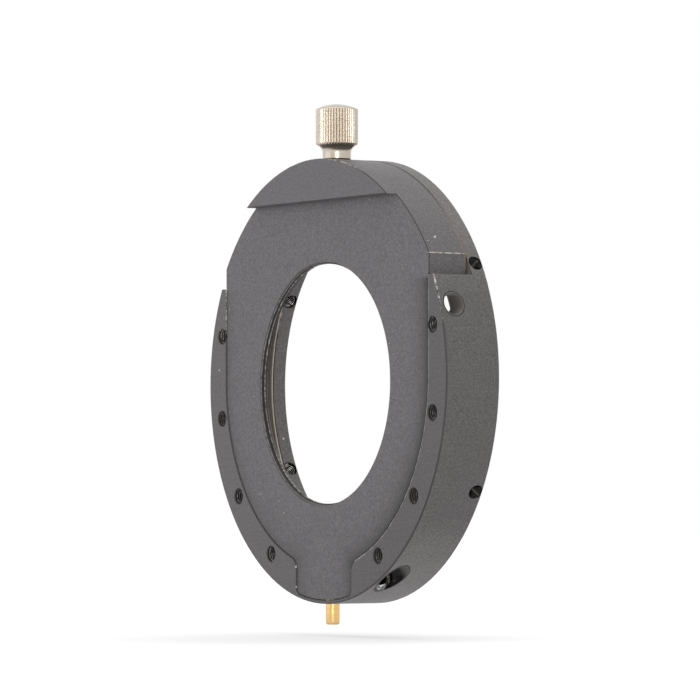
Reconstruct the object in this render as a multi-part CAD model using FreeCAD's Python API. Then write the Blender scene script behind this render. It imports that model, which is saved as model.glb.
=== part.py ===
# A filter slider in its chamber, for a 2 inch (M48) filter in an optical train.
#
# The chamber is a round aluminium body with a U-shaped recess milled into its front.
# The slider is a plate that drops into that recess from above and carries the filter.
# A knurled thumb screw on top is its handle, a brass pin at the bottom pushes it out,
# and a spring plunger in the side of the chamber holds it in place.
#
# Millimetres.  The origin is the centre of the rear bore in the back face of the chamber.
# +Z is up and is the way the slider comes out, +Y is along the light path towards the back,
# and +X is the side that has the two plunger holes.
import FreeCAD, Part
import math
import os

V = FreeCAD.Vector

# Chamber: outer form
body_radius = 43.9
body_depth = 12.2
back_wall = 3.25
rim_chamfer = 0.25
arm_top = 19.6

# Chamber: the recess that takes the slider, and the slot below it for the slider's tongue
arm_width = 6.5
recess_half_width = body_radius - arm_width
recess_centre_height = 0.5
slot_half_width = 10.15
bottom_wall = 0.7
slot_lead_radius = 2.55
slot_corner_radius = 1.5
recess_chamfer = 0.15

# Chamber: rear bore, a socket for a dovetail that six set screws clamp
ring_width = 9.9
bore_radius = body_radius - ring_width
bore_front_chamfer = 0.4
bore_mouth_chamfer = 0.2
clamp_count = 6
clamp_first_angle = 30.0

# Tapped holes, at the outer diameter of their thread, which isn't cut
small_thread_radius = 1.5
small_hole_depth = 6.0
countersink = 0.2

# Front holes for an adapter plate: three on a circle and one above them, on each side
bolt_inset = 4.35
bolt_circle_radius = body_radius - bolt_inset
bolt_angles = (-10.0, -35.0, -60.0)
upper_bolt_height = arm_top - 9.65

# Holes in the right-hand side: one with the spring plunger in it, at the middle diameter of
# its thread, which isn't cut, and a plain one
plunger_hole_radius = 2.35
plunger_setback = 3.0
plunger_rise = 5.25
plunger_height = plunger_rise - body_radius
spare_hole_radius = 2.15
spare_hole_setback = 3.15
spare_hole_height = arm_top - 5.75

# Slider: plate, cap and tongue
slide_clearance = 0.1
front_setback = 0.15
plate_thickness = 3.15
cap_overlap = 0.25
cap_half_width = recess_half_width + cap_overlap
cap_rest_gap = 0.1
cap_flattening = 1.35
cap_radius = body_radius + cap_flattening
cap_centre_height = -1.39
cap_foot_depth = 3.8
cap_foot_height = arm_top - cap_foot_depth
cap_back_clearance = 0.2
cap_arch_allowance = 0.4
cap_back_chamfer = 0.2
shoulder_depth = 8.3
shoulder_proud = 2.05
tongue_thickness = 3.7
tongue_pad_margin = 1.1
tongue_end_clearance = 0.1
slider_chamfer = 0.15

# Slider: thin flange with the thread for the filter, at the outer diameter of that thread, and
# the pocket behind the flange for the filter's rim
opening_height = -0.5
filter_thread_radius = 24.0
flange_thickness = 1.55
filter_rim_width = 3.0
filter_pocket_radius = filter_thread_radius + filter_rim_width

# Push-out pin, pressed into the tongue
pin_radius = 1.4
pin_setback = 2.2
pin_reach = 4.1
pin_grip = 7.5
pin_end_chamfer = 0.35
pin_hole_clearance = 0.25

# Thumb screw
thumb_setback = 3.15
thumb_seat_gap = 0.06
thumb_shank_radius = 1.5
thumb_shank_length = 6.0
thumb_shank_clearance = 0.05
thumb_hole_spare_depth = 1.0
neck_radius = 2.8
neck_height = 1.25
flare_radius = 3.5
flare_height = 1.4
head_radius = 4.18
head_foot_chamfer = 0.45
head_height = 7.45
head_edge_chamfer = 0.3
dome_height = 0.85

# Spring plunger
ball_radius = 1.25
ball_gap = 0.05
ball_stand_out = 0.75
ball_bore_clearance = 0.05
ball_lip_clearance = 0.06
ball_lip_length = 0.12
plunger_length = 5.6
plunger_end_wall = 1.6
plunger_key_flats = 2.5
plunger_key_depth = 1.0
plunger_end_chamfer = 0.35
spring_wire = 0.26
spring_turns = 3.0
spring_wall_gap = 0.12
spring_end_gap = 0.04

# Clamping set screws, at the root diameter of their thread
set_screw_radius = 1.25
set_screw_length = 3.0
set_screw_tip_chamfer = 0.45
set_screw_sink = 3.2
set_screw_key_flats = 1.3
set_screw_key_depth = 1.3

# Places that follow from the sizes above
front = -body_depth
wall_front = -back_wall
slot_end_radius = body_radius - bottom_wall
slider_front = front + front_setback
plate_back = slider_front + plate_thickness
cap_back = wall_front - cap_back_clearance
shoulder_front = front - shoulder_proud
flange_back = slider_front + flange_thickness
tongue_back = slider_front + tongue_thickness
pin_middle = front + pin_setback
plate_half_width = recess_half_width - slide_clearance
tongue_half_width = slot_half_width - slide_clearance
tongue_end_radius = slot_end_radius - tongue_end_clearance
cap_arch_radius = bore_radius + cap_arch_allowance
cap_top = cap_centre_height + cap_radius
shoulder_height = cap_top - shoulder_depth
tongue_pad_top = opening_height - filter_pocket_radius - tongue_pad_margin
cap_corner_height = cap_centre_height + math.sqrt(cap_radius**2 - cap_half_width**2)
cap_rest = arm_top + cap_rest_gap
clamp_middle = -back_wall / 2
plunger_middle = front + plunger_setback
spare_hole_middle = front + spare_hole_setback
thumb_middle = front + thumb_setback
reach = 2 * body_radius + cap_top
overshoot = 1.0
tiny = 1e-3


def on_circle(centre, radius, degrees):
    """A point (x, z) on a circle in the plane of the light path's cross-section."""
    turn = math.radians(degrees)
    return (centre[0] + radius * math.cos(turn), centre[1] + radius * math.sin(turn))


def arc_between(start, middle, end, y):
    """An arc through three (x, z) points, in the plane at depth y."""
    points = [V(x, y, z) for x, z in (start, middle, end)]
    return Part.Arc(*points).toShape()


def line_between(start, end, y):
    return Part.makeLine(V(start[0], y, start[1]), V(end[0], y, end[1]))


def short_arc(centre, start, end, y):
    """The shorter arc about a centre from one (x, z) point to another."""
    radius = math.hypot(start[0] - centre[0], start[1] - centre[1])
    way_x = start[0] + end[0] - 2 * centre[0]
    way_z = start[1] + end[1] - 2 * centre[1]
    length = math.hypot(way_x, way_z)
    middle = (centre[0] + radius * way_x / length, centre[1] + radius * way_z / length)
    return arc_between(start, middle, end, y)


def mirrored(point):
    return (-point[0], point[1])


def keyhole_edges(half_width, slot_half, slot_end, lead, corner, y):
    """The lower outline shared by the recess and the slider that fits in it.

    A half circle as wide as the straight sides, with a slot below it.  The half circle runs
    into the slot's walls over a round lead-in, and small rounds join the walls to the slot's
    end, which is concentric with the body.
    """
    centre = (0.0, recess_centre_height)
    lead_drop = math.sqrt((half_width + lead)**2 - (slot_half + lead)**2)
    lead_centre = (slot_half + lead, centre[1] - lead_drop)
    lead_start_share = half_width / (half_width + lead)
    lead_start = (lead_centre[0] * lead_start_share, centre[1] - lead_drop * lead_start_share)
    lead_end = (slot_half, lead_centre[1])
    corner_centre = (slot_half - corner, -math.sqrt((slot_end - corner)**2 - (slot_half - corner)**2))
    corner_start = (slot_half, corner_centre[1])
    corner_end_share = slot_end / (slot_end - corner)
    corner_end = (corner_centre[0] * corner_end_share, corner_centre[1] * corner_end_share)
    side = (half_width, centre[1])
    return [
        short_arc(centre, side, lead_start, y),
        short_arc(lead_centre, lead_start, lead_end, y),
        line_between(lead_end, corner_start, y),
        short_arc(corner_centre, corner_start, corner_end, y),
        arc_between(corner_end, (0.0, -slot_end), mirrored(corner_end), y),
        short_arc(mirrored(corner_centre), mirrored(corner_end), mirrored(corner_start), y),
        line_between(mirrored(corner_start), mirrored(lead_end), y),
        short_arc(mirrored(lead_centre), mirrored(lead_end), mirrored(lead_start), y),
        short_arc(centre, mirrored(lead_start), mirrored(side), y),
    ]


def prism(edges, depth):
    """A closed outline pushed back along the light path."""
    return Part.Face(Part.Wire(edges)).extrude(V(0, depth, 0))


def along_y(radius, y_from, y_to, x=0.0, z=0.0):
    return Part.makeCylinder(radius, y_to - y_from, V(x, y_from, z), V(0, 1, 0))


def cone_y(radius_from, radius_to, y_from, y_to, x=0.0, z=0.0):
    return Part.makeCone(radius_from, radius_to, y_to - y_from, V(x, y_from, z), V(0, 1, 0))


def turned(profile, centre, axis, side):
    """A solid of revolution from (distance along the axis, radius) points."""
    points = [centre + axis * along + side * radius for along, radius in profile]
    face = Part.Face(Part.makePolygon(points + points[:1]))
    return face.revolve(centre, axis, 360)


def hex_socket(flats, depth, mouth, inward):
    """The six-sided hole for a key, sunk from its mouth along the given direction."""
    corner = flats / math.sqrt(3)
    across = inward.cross(V(0, 1, 0))
    points = []
    for step in range(6):
        turn = math.radians(60 * step)
        points.append(mouth + across * (corner * math.cos(turn)) + V(0, 1, 0) * (corner * math.sin(turn)))
    return Part.Face(Part.makePolygon(points + points[:1])).extrude(inward * depth)


def edges_in_plane(shape, y, keep):
    """The edges that lie wholly at depth y and whose middle point passes the test."""
    found = []
    for edge in shape.Edges:
        box = edge.BoundBox
        middle = edge.valueAt((edge.FirstParameter + edge.LastParameter) / 2)
        if abs(box.YMin - y) < 1e-6 and abs(box.YMax - y) < 1e-6 and keep(middle):
            found.append(edge)
    return found


def front_bolt_points():
    """Centres (x, z) of the tapped holes on the right-hand side of the front face."""
    points = [on_circle((0.0, 0.0), bolt_circle_radius, angle) for angle in bolt_angles]
    points.append((points[0][0], upper_bolt_height))
    return points


def clamp_direction(number):
    turn = math.radians(clamp_first_angle + 360.0 * number / clamp_count)
    return V(math.cos(turn), 0, math.sin(turn))


def make_chamber():
    """The round body: a back ring with two arms that stand forward of it round the slider."""
    rim = [
        (0.0, 0.0),
        (0.0, body_radius - rim_chamfer),
        (rim_chamfer, body_radius),
        (body_depth - rim_chamfer, body_radius),
        (body_depth, body_radius - rim_chamfer),
        (body_depth, 0.0),
    ]
    body = turned(rim, V(0, front, 0), V(0, 1, 0), V(1, 0, 0))

    recess_depth = body_depth - back_wall
    edges = keyhole_edges(recess_half_width, slot_half_width, slot_end_radius, slot_lead_radius,
                          slot_corner_radius, front)
    top_left = (-recess_half_width, reach)
    top_right = (recess_half_width, reach)
    side = (recess_half_width, recess_centre_height)
    edges.append(line_between(mirrored(side), top_left, front))
    edges.append(line_between(top_left, top_right, front))
    edges.append(line_between(top_right, side, front))
    body = body.cut(prism(edges, recess_depth))
    body = body.cut(Part.makeBox(2 * reach, recess_depth, reach, V(-reach, front, arm_top)))

    inner_edges = edges_in_plane(body, front, inside_rim)
    body = body.makeChamfer(recess_chamfer, inner_edges)

    body = body.cut(along_y(bore_radius, -back_wall, 0.0))
    body = body.cut(cone_y(bore_radius + bore_front_chamfer, bore_radius,
                           wall_front, wall_front + bore_front_chamfer))
    body = body.cut(cone_y(bore_radius, bore_radius + bore_mouth_chamfer, -bore_mouth_chamfer, 0.0))

    for x, z in front_bolt_points():
        for side in (1, -1):
            body = body.cut(along_y(small_thread_radius, front, front + small_hole_depth, side * x, z))
            body = body.cut(cone_y(small_thread_radius + countersink, small_thread_radius,
                                   front, front + countersink, side * x, z))

    body = body.cut(Part.makeCylinder(spare_hole_radius, body_radius,
                                      V(0, spare_hole_middle, spare_hole_height), V(1, 0, 0)))
    body = body.cut(Part.makeCylinder(plunger_hole_radius, body_radius,
                                      V(0, plunger_middle, plunger_height), V(1, 0, 0)))

    pin_hole = Part.makeCylinder(pin_radius + pin_hole_clearance, body_radius,
                                 V(0, pin_middle, 0), V(0, 0, -1))
    body = body.cut(pin_hole)

    for number in range(clamp_count):
        body = body.cut(Part.makeCylinder(small_thread_radius, body_radius + overshoot,
                                          V(0, clamp_middle, 0), clamp_direction(number)))
    return body


def inside_rim(point):
    """True for the recess's own edges, which end short of the rim and of the arms' tops."""
    return math.hypot(point.x, point.z) < body_radius - rim_chamfer - tiny and point.z < arm_top - tiny


def make_slider():
    """The sliding plate, with its full-depth cap, its raised shoulder and its tongue."""
    outline = keyhole_edges(plate_half_width, tongue_half_width, tongue_end_radius,
                            slot_lead_radius + slide_clearance, slot_corner_radius - slide_clearance,
                            slider_front)
    right_side = [
        (plate_half_width, recess_centre_height),
        (plate_half_width, cap_rest),
        (cap_half_width, cap_rest),
        (cap_half_width, cap_corner_height),
    ]
    for start, end in zip(right_side, right_side[1:]):
        outline.append(line_between(start, end, slider_front))
        outline.append(line_between(mirrored(start), mirrored(end), slider_front))
    corner = right_side[-1]
    outline.append(arc_between(mirrored(corner), (0.0, cap_top), corner, slider_front))
    outline = Part.__sortEdges__(outline)
    plate = prism(outline, plate_thickness)
    full_depth = prism(outline, cap_back - slider_front)

    above_foot = Part.makeBox(2 * reach, reach, reach, V(-reach, slider_front, cap_foot_height))
    arch = along_y(cap_arch_radius, slider_front, cap_back)
    cap = full_depth.common(above_foot).cut(arch)

    tongue_slab = prism(outline, tongue_thickness)
    tongue_reach = Part.makeBox(2 * tongue_half_width, tongue_thickness, reach,
                                V(-tongue_half_width, slider_front, tongue_pad_top - reach))
    tongue = tongue_slab.common(tongue_reach)

    shoulder_half = math.sqrt(cap_radius**2 - (shoulder_height - cap_centre_height)**2)
    shoulder_end = (shoulder_half, shoulder_height)
    shoulder = prism([arc_between(mirrored(shoulder_end), (0.0, cap_top), shoulder_end, shoulder_front),
                      line_between(shoulder_end, mirrored(shoulder_end), shoulder_front)],
                     slider_front - shoulder_front)

    slider = plate.fuse([cap, tongue, shoulder]).removeSplitter()
    slider = slider.makeChamfer(slider_chamfer, edges_in_plane(slider, slider_front, on_outline))
    slider = slider.makeChamfer(slider_chamfer, edges_in_plane(slider, shoulder_front, anywhere))
    slider = slider.makeChamfer(cap_back_chamfer, edges_in_plane(slider, cap_back, on_cap_rim))

    slider = slider.cut(along_y(filter_pocket_radius, flange_back, 0.0, 0.0, opening_height))
    slider = slider.cut(along_y(filter_thread_radius, slider_front, flange_back, 0.0, opening_height))

    thumb_hole_depth = thumb_shank_length + thumb_hole_spare_depth
    thumb_hole = Part.makeCylinder(thumb_shank_radius + thumb_shank_clearance,
                                   thumb_hole_depth + overshoot,
                                   V(0, thumb_middle, cap_top + overshoot), V(0, 0, -1))
    pin_hole = Part.makeCylinder(pin_radius, pin_grip, V(0, pin_middle, -tongue_end_radius),
                                 V(0, 0, 1))
    return slider.cut(thumb_hole).cut(pin_hole)


def on_outline(point):
    """True for the outer edge of the slider's front face, and not for the shoulder's foot."""
    return point.z < shoulder_height - tiny


def on_cap_rim(point):
    """True for the cap's round top and its upright sides, and not for its foot and its arch."""
    on_top = math.hypot(point.x, point.z - cap_centre_height) > cap_radius - tiny
    return on_top or abs(point.x) > cap_half_width - tiny


def anywhere(point):
    return True


def make_push_pin():
    """The plain brass pin with a broken edge at its end."""
    top = -tongue_end_radius + pin_grip
    end = -body_radius - pin_reach
    pin = Part.makeCylinder(pin_radius, top - end, V(0, pin_middle, end))
    lower = [edge for edge in pin.Edges if edge.BoundBox.ZMax < end + tiny]
    return pin.makeChamfer(pin_end_chamfer, lower)


def make_thumb_screw():
    """Shank, neck, flare and a domed head, turned from one bar; the knurl isn't cut."""
    seat = cap_top + thumb_seat_gap
    flare_foot = seat + neck_height
    head_foot = flare_foot + flare_height
    head_top = head_foot + head_height
    axis_point = V(0, thumb_middle, 0)

    def at(radius, height):
        return V(radius, thumb_middle, height)

    dome_foot = head_radius - head_edge_chamfer
    dome_radius = (dome_foot**2 + dome_height**2) / (2 * dome_height)
    half_way = dome_foot / 2
    half_way_height = head_top + dome_height - dome_radius + math.sqrt(dome_radius**2 - half_way**2)
    corners = [
        (0, head_top + dome_height),
        (0, seat - thumb_shank_length),
        (thumb_shank_radius, seat - thumb_shank_length),
        (thumb_shank_radius, seat),
        (neck_radius, seat),
        (neck_radius, flare_foot),
        (flare_radius, head_foot),
        (head_radius, head_foot + head_foot_chamfer),
        (head_radius, head_top - head_edge_chamfer),
        (dome_foot, head_top),
    ]
    profile = [Part.makeLine(at(*start), at(*end)) for start, end in zip(corners, corners[1:])]
    profile.append(Part.Arc(at(*corners[-1]), at(half_way, half_way_height), at(*corners[0])).toShape())
    return Part.Face(Part.Wire(profile)).revolve(axis_point, V(0, 0, 1), 360)


def ball_tip():
    """Distance from the middle plane to the ball's tip, just clear of the tongue's side."""
    return tongue_half_width + ball_gap


def make_plunger_ball():
    return Part.makeSphere(ball_radius, V(ball_tip() + ball_radius, plunger_middle, plunger_height))


def make_plunger_sleeve():
    """The threaded sleeve: a lip round the ball at its inner end, a key socket at its outer end."""
    start = ball_tip() + ball_stand_out
    bore = ball_radius + ball_bore_clearance
    lip_gap = ball_radius - ball_stand_out
    lip = math.sqrt(ball_radius**2 - lip_gap**2) + ball_lip_clearance
    bore_end = plunger_length - plunger_end_wall
    profile = [
        (0.0, lip),
        (0.0, plunger_hole_radius),
        (plunger_length - plunger_end_chamfer, plunger_hole_radius),
        (plunger_length, plunger_hole_radius - plunger_end_chamfer),
        (plunger_length, 0.0),
        (bore_end, 0.0),
        (bore_end, bore),
        (ball_lip_length + bore - lip, bore),
        (ball_lip_length, lip),
    ]
    centre = V(start, plunger_middle, plunger_height)
    sleeve = turned(profile, centre, V(1, 0, 0), V(0, 1, 0))
    outer_end = centre + V(plunger_length, 0, 0)
    return sleeve.cut(hex_socket(plunger_key_flats, plunger_key_depth, outer_end, V(-1, 0, 0)))


def make_plunger_spring():
    """The coil of square wire between the ball and the bottom of the sleeve's bore."""
    half_wire = spring_wire / 2
    outer_radius = ball_radius + ball_bore_clearance - spring_wall_gap
    inner_radius = outer_radius - spring_wire
    ball_centre = ball_tip() + ball_radius
    seat_distance = ball_radius + spring_end_gap
    start = ball_centre + math.sqrt(seat_distance**2 - inner_radius**2) + half_wire
    bore_end = ball_tip() + ball_stand_out + plunger_length - plunger_end_wall
    length = bore_end - spring_end_gap - half_wire - start
    corners = [
        V(inner_radius, 0, -half_wire),
        V(outer_radius, 0, -half_wire),
        V(outer_radius, 0, half_wire),
        V(inner_radius, 0, half_wire),
    ]
    section = Part.makePolygon(corners + corners[:1])
    coil = Part.makeHelix(length / spring_turns, length, (inner_radius + outer_radius) / 2)
    spring = Part.Wire(coil).makePipeShell([section], True, True)
    spring.Placement = FreeCAD.Placement(V(start, plunger_middle, plunger_height),
                                         FreeCAD.Rotation(V(0, 1, 0), 90))
    return spring


def make_clamp_screw(number):
    """A set screw with a key socket, well inside its radial hole when nothing is clamped."""
    outward = clamp_direction(number)
    outer_end = V(0, clamp_middle, 0) + outward * (body_radius - set_screw_sink)
    profile = [
        (0.0, 0.0),
        (0.0, set_screw_radius),
        (set_screw_length - set_screw_tip_chamfer, set_screw_radius),
        (set_screw_length, set_screw_radius - set_screw_tip_chamfer),
        (set_screw_length, 0.0),
    ]
    screw = turned(profile, outer_end, -outward, V(0, 1, 0))
    return screw.cut(hex_socket(set_screw_key_flats, set_screw_key_depth, outer_end, -outward))


pieces = {
    "chamber_body": make_chamber(),
    "slider_body": make_slider(),
    "push_pin": make_push_pin(),
    "thumb_screw": make_thumb_screw(),
    "plunger_sleeve": make_plunger_sleeve(),
    "plunger_spring": make_plunger_spring(),
    "plunger_ball": make_plunger_ball(),
}
for number in range(clamp_count):
    pieces["clamp_screw_%d" % (number + 1)] = make_clamp_screw(number)

os.makedirs("parts", exist_ok=True)
for name, shape in pieces.items():
    shape.exportStep("parts/%s.step" % name)
    box = shape.BoundBox
    print("%-16s solids %d  valid %s  volume %9.2f  x %.2f..%.2f  y %.2f..%.2f  z %.2f..%.2f" % (
        name, len(shape.Solids), shape.isValid(), shape.Volume,
        box.XMin, box.XMax, box.YMin, box.YMax, box.ZMin, box.ZMax))
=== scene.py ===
# %% [markdown]
# # A filter slider in its chamber
#
# This notebook dresses a machined optical part: a round black chamber, the slider that drops
# into it, a knurled thumb screw, a brass pin and a spring plunger. The solids come from the
# construction model in their real places and sizes, so Blender adds what a machinist sees on
# the real part: the blasted and anodised skin, the worn edges, the threads and the knurl. Some
# light and shade is painted into the colours as well, and the cells below say where.

# %% Load the frame
import math

import bpy
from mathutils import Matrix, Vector


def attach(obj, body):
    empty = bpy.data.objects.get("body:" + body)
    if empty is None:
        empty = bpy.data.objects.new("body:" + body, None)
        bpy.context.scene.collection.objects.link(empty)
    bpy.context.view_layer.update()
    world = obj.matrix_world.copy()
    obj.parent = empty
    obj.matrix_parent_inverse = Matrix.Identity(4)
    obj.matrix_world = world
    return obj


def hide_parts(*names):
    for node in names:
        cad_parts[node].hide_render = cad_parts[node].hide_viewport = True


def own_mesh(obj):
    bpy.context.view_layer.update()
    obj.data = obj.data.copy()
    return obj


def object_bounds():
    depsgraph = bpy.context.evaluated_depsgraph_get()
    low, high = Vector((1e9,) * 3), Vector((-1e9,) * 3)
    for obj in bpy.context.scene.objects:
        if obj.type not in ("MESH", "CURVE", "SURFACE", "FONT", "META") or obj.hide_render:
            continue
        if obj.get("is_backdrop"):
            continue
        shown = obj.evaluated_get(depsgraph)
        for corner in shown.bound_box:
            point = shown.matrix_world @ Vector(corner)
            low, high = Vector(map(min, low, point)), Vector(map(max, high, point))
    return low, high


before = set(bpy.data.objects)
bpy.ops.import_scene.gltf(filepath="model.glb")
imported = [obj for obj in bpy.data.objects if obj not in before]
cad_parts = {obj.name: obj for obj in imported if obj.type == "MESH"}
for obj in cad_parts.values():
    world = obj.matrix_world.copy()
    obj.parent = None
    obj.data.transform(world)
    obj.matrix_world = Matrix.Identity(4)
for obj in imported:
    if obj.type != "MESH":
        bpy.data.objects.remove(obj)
cad_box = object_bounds()
MM = 0.001
print("construction model box, mm:", [tuple(round(v / MM, 2) for v in corner) for corner in cad_box])

# %% [markdown]
# ## Camera
#
# The photograph is a product shot taken with a long lens from about 0.9 m away. The camera is
# 58 degrees round from the front and a little below the middle of the chamber, so we see the
# slider's face at a slant, most of the right-hand rim, and hardly any of the floor. A long
# lens is set by its focal length for a 36 mm wide sensor. The point it aims at is a little
# beside the chamber's centre, which puts the object where the photograph has it without any
# lens shift.

# %% Camera
CAMERA_ROUND = math.radians(57.914)
CAMERA_HEIGHT = math.radians(-1.52)
CAMERA_DISTANCE = 902.89 * MM
LENS_MM, SENSOR_MM = 235.35, 36
NEAREST, FARTHEST = 0.01, 20
FRONT_Y = -12.2
FRONT_CENTRE = Vector((0, FRONT_Y * MM, 0))
AIM_RIGHT, AIM_UP = 5.26 * MM, 6.145 * MM

back = Vector((math.sin(CAMERA_ROUND) * math.cos(CAMERA_HEIGHT),
               -math.cos(CAMERA_ROUND) * math.cos(CAMERA_HEIGHT),
               math.sin(CAMERA_HEIGHT)))
camera_right = Vector((math.cos(CAMERA_ROUND), math.sin(CAMERA_ROUND), 0))
camera_up = back.cross(camera_right)

camera_data = bpy.data.cameras.new("camera")
camera_data.lens = LENS_MM
camera_data.sensor_width = SENSOR_MM
camera_data.clip_start = NEAREST
camera_data.clip_end = FARTHEST
camera = bpy.data.objects.new("camera", camera_data)
bpy.context.scene.collection.objects.link(camera)
camera.location = FRONT_CENTRE + back * CAMERA_DISTANCE
aim = FRONT_CENTRE + camera_right * AIM_RIGHT + camera_up * AIM_UP
camera.rotation_mode = "QUATERNION"
camera.rotation_quaternion = (aim - camera.location).to_track_quat("-Z", "Y")
bpy.context.scene.camera = camera
print("camera at", [round(v, 3) for v in camera.location])

# %% [markdown]
# ## Helpers for nodes
#
# Every material here is a small network of nodes, and so is every pattern. One function turns
# a colour written as a web hex code into the linear numbers that Blender's shaders work in.
# Another adds a node, sets its values and joins its inputs, and a third starts a material.

# %% Node and colour helpers


def linear(hex_code):
    """An sRGB hex colour as linear red, green, blue and alpha."""
    channels = [int(hex_code[i:i + 2], 16) / 255 for i in (1, 3, 5)]
    return tuple(c / 12.92 if c <= 0.04045 else ((c + 0.055) / 1.055) ** 2.4 for c in channels) + (1.0,)


def node(tree, kind, inputs=None, **settings):
    """Adds a node. An input is a value, a hex colour, another node's output, or a node for its first output."""
    made = tree.nodes.new(kind)
    for name, value in settings.items():
        setattr(made, name, value)
    for key, value in (inputs or {}).items():
        if isinstance(value, bpy.types.Node):
            value = value.outputs[0]
        if isinstance(value, str) and value.startswith("#"):
            value = linear(value)
        if isinstance(value, bpy.types.NodeSocket):
            tree.links.new(value, made.inputs[key])
        else:
            made.inputs[key].default_value = value
    return made


def new_material(name):
    """An empty material with its shader and output, ready for its pattern."""
    material = bpy.data.materials.new(name)
    material.use_nodes = True
    tree = material.node_tree
    tree.nodes.clear()
    shader = node(tree, "ShaderNodeBsdfPrincipled")
    node(tree, "ShaderNodeOutputMaterial", {"Surface": shader})
    return material, tree, shader


print("mid grey #808080 is", round(linear("#808080")[0], 3), "in linear light")

# %% [markdown]
# ## Backdrop, table and lamps
#
# The photograph's background is pure white, and the part casts only a faint soft shadow on the
# table below it. The white is shown to the camera and in reflections only, so it puts no more
# light on the part. The shader asks what kind of ray has reached it, and answers with the
# white or with the light.

# %% Backdrop
WORLD_LIGHT = 0.46


def seen(tree):
    """1 for rays from the camera, a reflection or a pane, and 0 for the light on the part."""
    rays = node(tree, "ShaderNodeLightPath")
    shown_to = rays.outputs["Is Camera Ray"]
    for kind in ("Is Glossy Ray", "Is Transmission Ray"):
        shown_to = node(tree, "ShaderNodeMath", {0: shown_to, 1: rays.outputs[kind]}, operation="MAXIMUM")
    return shown_to


world = bpy.data.worlds.new("studio")
bpy.context.scene.world = world
world.use_nodes = True
tree = world.node_tree
tree.nodes.clear()
lighting = node(tree, "ShaderNodeBackground", {"Color": "#F8F8FF", "Strength": WORLD_LIGHT})
shown = node(tree, "ShaderNodeBackground", {"Color": (1, 1, 1, 1), "Strength": 1.0})
mixed = node(tree, "ShaderNodeMixShader", {0: seen(tree), 1: lighting, 2: shown})
node(tree, "ShaderNodeOutputWorld", {"Surface": mixed})
print("the world lights the part with", WORLD_LIGHT, "and looks white")

# %% [markdown]
# The table is white paper. The lamps' light falls off with distance, so its far part would be
# grey in the picture, and a glow that only the camera sees makes up for it. The paper that is
# shown is darker than the one that gives light back, with the glow for the rest, so that the
# part's shadow on it stays faint. In front of the part's foot a soft shadow is painted on the
# table, as a patch where the glow is lower.

# %% Table
FLOOR_HEIGHT, FLOOR_REACH = -50.4 * MM, 2.0
PAPER, SHOWN_PAPER = "#EEEEEE", "#AFAFAF"
NEAR, FAR, NEAR_GLOW, FAR_GLOW = 0.1, 1.2, 0.74, 0.92
FOOT, FOOT_REACH, PAINTED_FOOT_SHADOW = (0.013, -0.026, FLOOR_HEIGHT), 0.07, 0.15

floor_material = bpy.data.materials.new("white_table")
floor_material.use_nodes = True
tree = floor_material.node_tree
tree.nodes.clear()
point = node(tree, "ShaderNodeTexCoord").outputs["Object"]
away = node(tree, "ShaderNodeVectorMath", {0: point, 1: (0, 0, FLOOR_HEIGHT)}, operation="DISTANCE").outputs["Value"]
glow = node(tree, "ShaderNodeMapRange", {"Value": away, "From Min": NEAR, "From Max": FAR,
                                         "To Min": NEAR_GLOW, "To Max": FAR_GLOW})
# Painted shadow: a soft round patch of less glow in front of the part's foot
beside = node(tree, "ShaderNodeVectorMath", {0: point, 1: FOOT}, operation="DISTANCE").outputs["Value"]
painted_shadow = node(tree, "ShaderNodeMapRange", {"Value": beside, "From Max": FOOT_REACH, "To Min": PAINTED_FOOT_SHADOW,
                                          "To Max": 0.0}, interpolation_type="SMOOTHERSTEP")
glow = node(tree, "ShaderNodeMath", {0: glow, 1: painted_shadow}, operation="SUBTRACT")
glow = node(tree, "ShaderNodeEmission", {"Color": (1, 1, 1, 1), "Strength": glow})
paper = node(tree, "ShaderNodeBsdfDiffuse", {"Color": SHOWN_PAPER})
shown = node(tree, "ShaderNodeAddShader", {0: paper, 1: glow})
lighting = node(tree, "ShaderNodeBsdfDiffuse", {"Color": PAPER})
mixed = node(tree, "ShaderNodeMixShader", {0: seen(tree), 1: lighting, 2: shown})
node(tree, "ShaderNodeOutputMaterial", {"Surface": mixed})

corners = [(x * FLOOR_REACH, y * FLOOR_REACH, FLOOR_HEIGHT) for x, y in ((-1, -1), (1, -1), (1, 1), (-1, 1))]
floor_mesh = bpy.data.meshes.new("floor")
floor_mesh.from_pydata(corners, [], [(0, 1, 2, 3)])
floor_mesh.materials.append(floor_material)
floor = bpy.data.objects.new("floor", floor_mesh)
bpy.context.scene.collection.objects.link(floor)
floor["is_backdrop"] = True
print("table at", round(FLOOR_HEIGHT / MM, 1), "mm, its material has", len(tree.nodes), "nodes")

# %% [markdown]
# Three soft boxes stand round the part. A wide one in front, to the left, lights the slider's
# face at a slant and evenly. A small one near the camera gives the bright lines on the edges,
# the thread crests and the knurl. A big warm one overhead lights the top of the rim.

# %% Lamps


def soft_box(name, place, size, watts, colour):
    """A square studio lamp at a place given in metres, turned towards the chamber."""
    data = bpy.data.lights.new(name, "AREA")
    data.shape = "SQUARE"
    data.size = size
    data.energy = watts
    data.color = linear(colour)[:3]
    lamp = bpy.data.objects.new(name, data)
    bpy.context.scene.collection.objects.link(lamp)
    lamp.location = place
    lamp.rotation_mode = "QUATERNION"
    lamp.rotation_quaternion = (FRONT_CENTRE - lamp.location).to_track_quat("-Z", "Y")
    print(name, "gives", watts, "W from", place)


soft_box("front_lamp", (-0.5, -1.1, 0.45), 1.4, 3.3, "#FBFBFF")
soft_box("side_lamp", (1.04, -0.62, 0.13), 0.32, 2.6, "#FFF6EC")
soft_box("top_lamp", (0.15, -0.1, 1.2), 1.5, 7.2, "#FFF8EF")
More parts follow.
